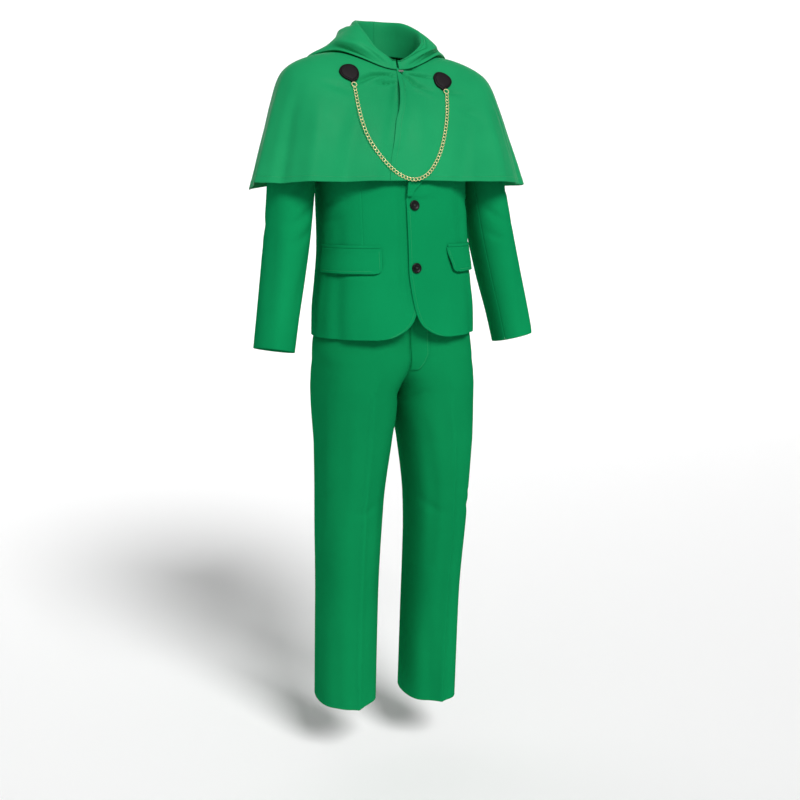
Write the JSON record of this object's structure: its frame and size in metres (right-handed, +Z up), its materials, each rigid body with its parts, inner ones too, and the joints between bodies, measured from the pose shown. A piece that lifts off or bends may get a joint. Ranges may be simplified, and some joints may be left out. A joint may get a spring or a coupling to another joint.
{
  "type": "supervillain costume: suit with a short hooded cape",
  "caption": "Green costume worn on an unseen figure: straight trousers, two-button jacket, short hooded shoulder cape with black discs and a gold chain.",
  "frame": {"origin": "at the height of the wearer's shoulder line, on the middle plane, in line with the chest under the neck; the wearer's shoulders hold the costume there", "axes": "+X to the wearer's left, +Y to the wearer's back, +Z up"},
  "size_m": [0.6324, 0.319, 1.49],
  "materials": {
    "cape_satin": "bright green woven satin with a soft sheen",
    "jacket_cloth": "green suiting, fine twill, low sheen",
    "trouser_cloth": "green suiting, fine twill, low sheen, soft pressed creases",
    "black_leather": "black grained leather, padded",
    "black_button": "black four-hole button, satin gloss",
    "gold_metal": "pale gold plate, polished",
    "steel": "small bright hook"
  },
  "bodies": {
    "root": {"button_lower": "black_button", "button_upper": "black_button", "cape_left": "cape_satin", "cape_right": "cape_satin", "chain": "gold_metal", "disc_left": "black_leather", "disc_right": "black_leather", "fly": "trouser_cloth", "hood_left": "cape_satin", "hood_right": "cape_satin", "jacket_back_left": "jacket_cloth", "jacket_back_right": "jacket_cloth", "jacket_collar": "jacket_cloth", "jacket_front_left": "jacket_cloth", "jacket_front_right": "jacket_cloth", "lapel_left": "jacket_cloth", "lapel_right": "jacket_cloth", "neck_hook": "steel", "pocket_flap_left": "jacket_cloth", "pocket_flap_right": "jacket_cloth", "pocket_jet_left": "jacket_cloth", "pocket_jet_right": "jacket_cloth", "ring_left": "gold_metal", "ring_right": "gold_metal", "sleeve_top_left": "jacket_cloth", "sleeve_top_right": "jacket_cloth", "sleeve_under_left": "jacket_cloth", "sleeve_under_right": "jacket_cloth", "trouser_back_left": "trouser_cloth", "trouser_back_right": "trouser_cloth", "trouser_front_left": "trouser_cloth", "trouser_front_right": "trouser_cloth", "waistband": "trouser_cloth"}
  },
  "joints": []
}
